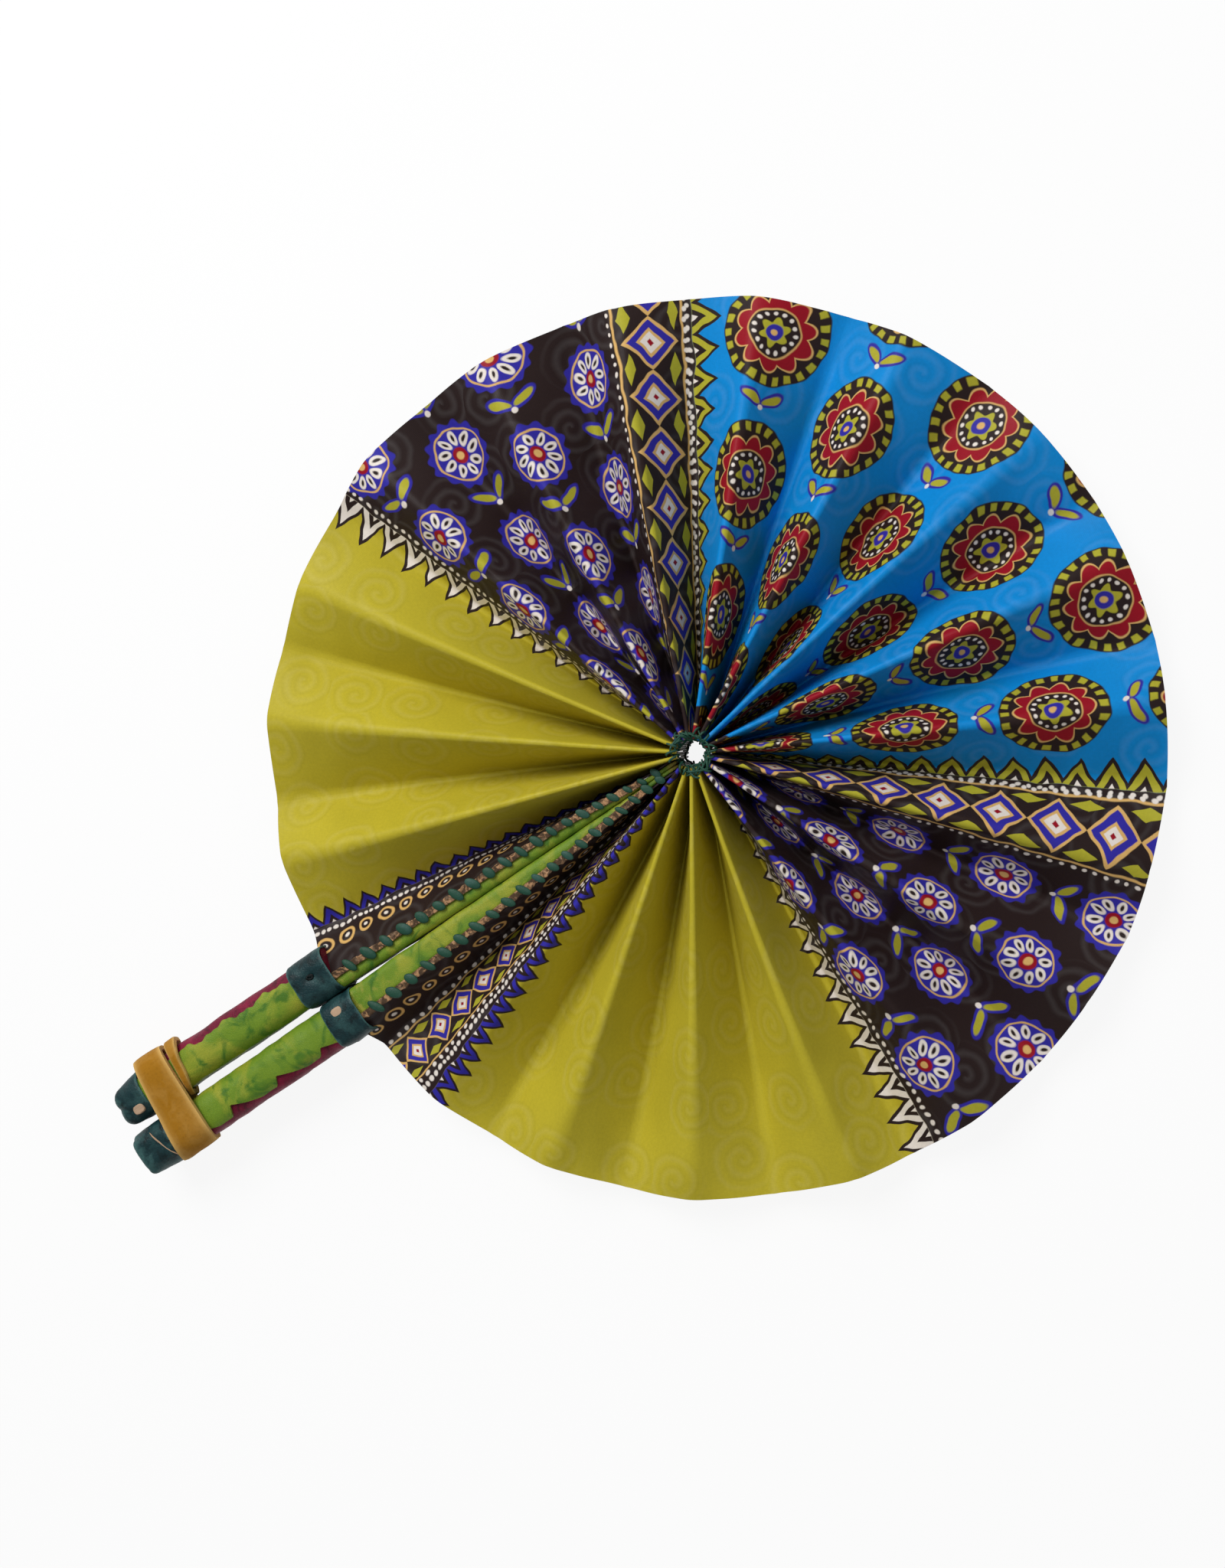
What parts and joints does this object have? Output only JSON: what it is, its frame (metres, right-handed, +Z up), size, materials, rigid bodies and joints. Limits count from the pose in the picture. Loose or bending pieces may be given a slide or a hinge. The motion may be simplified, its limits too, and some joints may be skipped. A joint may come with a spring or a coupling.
{
  "type": "fabric hand fan",
  "caption": "Folding cockade hand fan: a pleated printed cloth leaf that opens to a full disc between leather-covered sticks, which a suede strap holds together as the handle.",
  "frame": {"origin": "bottom centre of the open fan's box, on the surface that it lies on", "axes": "+Y from the handle towards the leaf, along the handle; +Z up, square to the leaf's disc"},
  "size_m": [0.299, 0.3922, 0.0259],
  "materials": {
    "printed_cotton": "stiff waxed print cotton, satin",
    "green_leather": "mottled dyed leather, satin",
    "teal_leather": "dyed leather, satin",
    "crimson_leather": "dyed leather, matt",
    "tan_suede": "suede with pale cut edges",
    "tan_leather": "undyed leather, matt",
    "green_thread": "waxed thread",
    "peg_wood": "bare wood",
    "stick_wood": "bare wood, hidden"
  },
  "bodies": {
    "left_stick": {"left_core": "stick_wood", "left_spine_sleeve": "green_leather", "left_lining": "crimson_leather", "left_grip_wrap": "green_leather", "left_collar": "teal_leather", "left_cap": "teal_leather", "left_welt": "tan_leather", "left_lacing": "green_thread", "left_end_panel": "printed_cotton", "left_cap_peg": "peg_wood", "gather_thread_top": "green_thread", "gather_thread_bottom": "green_thread"},
    "right_stick": {"right_core": "stick_wood", "right_spine_sleeve": "green_leather", "right_lining": "crimson_leather", "right_grip_wrap": "green_leather", "right_collar": "teal_leather", "right_cap": "teal_leather", "right_welt": "tan_leather", "right_lacing": "green_thread", "right_end_panel": "printed_cotton", "right_collar_peg": "peg_wood"},
    "pleat_01": {"pleat_01": "printed_cotton"},
    "pleat_02": {"pleat_02": "printed_cotton"},
    "pleat_03": {"pleat_03": "printed_cotton"},
    "pleat_04": {"pleat_04": "printed_cotton"},
    "pleat_05": {"pleat_05": "printed_cotton"},
    "pleat_06": {"pleat_06": "printed_cotton"},
    "pleat_07": {"pleat_07": "printed_cotton"},
    "pleat_08": {"pleat_08": "printed_cotton"},
    "pleat_09": {"pleat_09": "printed_cotton"},
    "pleat_10": {"pleat_10": "printed_cotton"},
    "pleat_11": {"pleat_11": "printed_cotton"},
    "pleat_12": {"pleat_12": "printed_cotton"},
    "pleat_13": {"pleat_13": "printed_cotton"},
    "pleat_14": {"pleat_14": "printed_cotton"},
    "pleat_15": {"pleat_15": "printed_cotton"},
    "pleat_16": {"pleat_16": "printed_cotton"},
    "pleat_17": {"pleat_17": "printed_cotton"},
    "pleat_18": {"pleat_18": "printed_cotton"},
    "strap": {"strap_loop": "tan_suede", "strap_keeper": "tan_suede"}
  },
  "joints": [
    {"name": "fold", "type": "hinge", "parent": "left_stick", "child": "right_stick", "pos_m": [0, 0.0461, 0.01295], "axis": [0, 0, 1], "range_deg": [0, 343], "deforming": ["pleat_01", "pleat_02", "pleat_03", "pleat_04", "pleat_05", "pleat_06", "pleat_07", "pleat_08", "pleat_09", "pleat_10", "pleat_11", "pleat_12", "pleat_13", "pleat_14", "pleat_15", "pleat_16", "pleat_17", "pleat_18", "left_end_panel", "right_end_panel", "strap_loop"]},
    {"name": "pleat_01_fold", "type": "hinge", "parent": "left_stick", "child": "pleat_01", "pos_m": [0, 0.0461, 0.01295], "axis": [0, 0, 1], "range_deg": [0, 331]},
    {"name": "pleat_02_fold", "type": "hinge", "parent": "left_stick", "child": "pleat_02", "pos_m": [0, 0.0461, 0.01295], "axis": [0, 0, 1], "range_deg": [0, 313]},
    {"name": "pleat_03_fold", "type": "hinge", "parent": "left_stick", "child": "pleat_03", "pos_m": [0, 0.0461, 0.01295], "axis": [0, 0, 1], "range_deg": [0, 294]},
    {"name": "pleat_04_fold", "type": "hinge", "parent": "left_stick", "child": "pleat_04", "pos_m": [0, 0.0461, 0.01295], "axis": [0, 0, 1], "range_deg": [0, 276]},
    {"name": "pleat_05_fold", "type": "hinge", "parent": "left_stick", "child": "pleat_05", "pos_m": [0, 0.0461, 0.01295], "axis": [0, 0, 1], "range_deg": [0, 257]},
    {"name": "pleat_06_fold", "type": "hinge", "parent": "left_stick", "child": "pleat_06", "pos_m": [0, 0.0461, 0.01295], "axis": [0, 0, 1], "range_deg": [0, 239]},
    {"name": "pleat_07_fold", "type": "hinge", "parent": "left_stick", "child": "pleat_07", "pos_m": [0, 0.0461, 0.01295], "axis": [0, 0, 1], "range_deg": [0, 220]},
    {"name": "pleat_08_fold", "type": "hinge", "parent": "left_stick", "child": "pleat_08", "pos_m": [0, 0.0461, 0.01295], "axis": [0, 0, 1], "range_deg": [0, 202]},
    {"name": "pleat_09_fold", "type": "hinge", "parent": "left_stick", "child": "pleat_09", "pos_m": [0, 0.0461, 0.01295], "axis": [0, 0, 1], "range_deg": [0, 183]},
    {"name": "pleat_10_fold", "type": "hinge", "parent": "left_stick", "child": "pleat_10", "pos_m": [0, 0.0461, 0.01295], "axis": [0, 0, 1], "range_deg": [0, 165]},
    {"name": "pleat_11_fold", "type": "hinge", "parent": "left_stick", "child": "pleat_11", "pos_m": [0, 0.0461, 0.01295], "axis": [0, 0, 1], "range_deg": [0, 146]},
    {"name": "pleat_12_fold", "type": "hinge", "parent": "left_stick", "child": "pleat_12", "pos_m": [0, 0.0461, 0.01295], "axis": [0, 0, 1], "range_deg": [0, 128]},
    {"name": "pleat_13_fold", "type": "hinge", "parent": "left_stick", "child": "pleat_13", "pos_m": [0, 0.0461, 0.01295], "axis": [0, 0, 1], "range_deg": [0, 109]},
    {"name": "pleat_14_fold", "type": "hinge", "parent": "left_stick", "child": "pleat_14", "pos_m": [0, 0.0461, 0.01295], "axis": [0, 0, 1], "range_deg": [0, 91]},
    {"name": "pleat_15_fold", "type": "hinge", "parent": "left_stick", "child": "pleat_15", "pos_m": [0, 0.0461, 0.01295], "axis": [0, 0, 1], "range_deg": [0, 73]},
    {"name": "pleat_16_fold", "type": "hinge", "parent": "left_stick", "child": "pleat_16", "pos_m": [0, 0.0461, 0.01295], "axis": [0, 0, 1], "range_deg": [0, 54]},
    {"name": "pleat_17_fold", "type": "hinge", "parent": "left_stick", "child": "pleat_17", "pos_m": [0, 0.0461, 0.01295], "axis": [0, 0, 1], "range_deg": [0, 36]},
    {"name": "pleat_18_fold", "type": "hinge", "parent": "left_stick", "child": "pleat_18", "pos_m": [0, 0.0461, 0.01295], "axis": [0, 0, 1], "range_deg": [0, 17]},
    {"name": "strap_slide", "type": "slide", "parent": "left_stick", "child": "strap", "axis": [0, -1, 0], "range_m": [-0.048, 0.04]}
  ],
  "couplings": [
    {"joint": "pleat_01_fold", "follows": "fold", "ratio": 0.9609},
    {"joint": "pleat_02_fold", "follows": "fold", "ratio": 0.9071},
    {"joint": "pleat_03_fold", "follows": "fold", "ratio": 0.8532},
    {"joint": "pleat_04_fold", "follows": "fold", "ratio": 0.7994},
    {"joint": "pleat_05_fold", "follows": "fold", "ratio": 0.7455},
    {"joint": "pleat_06_fold", "follows": "fold", "ratio": 0.6917},
    {"joint": "pleat_07_fold", "follows": "fold", "ratio": 0.6378},
    {"joint": "pleat_08_fold", "follows": "fold", "ratio": 0.584},
    {"joint": "pleat_09_fold", "follows": "fold", "ratio": 0.5301},
    {"joint": "pleat_10_fold", "follows": "fold", "ratio": 0.4763},
    {"joint": "pleat_11_fold", "follows": "fold", "ratio": 0.4224},
    {"joint": "pleat_12_fold", "follows": "fold", "ratio": 0.3686},
    {"joint": "pleat_13_fold", "follows": "fold", "ratio": 0.3147},
    {"joint": "pleat_14_fold", "follows": "fold", "ratio": 0.2609},
    {"joint": "pleat_15_fold", "follows": "fold", "ratio": 0.207},
    {"joint": "pleat_16_fold", "follows": "fold", "ratio": 0.1532},
    {"joint": "pleat_17_fold", "follows": "fold", "ratio": 0.0993},
    {"joint": "pleat_18_fold", "follows": "fold", "ratio": 0.0455}
  ]
}
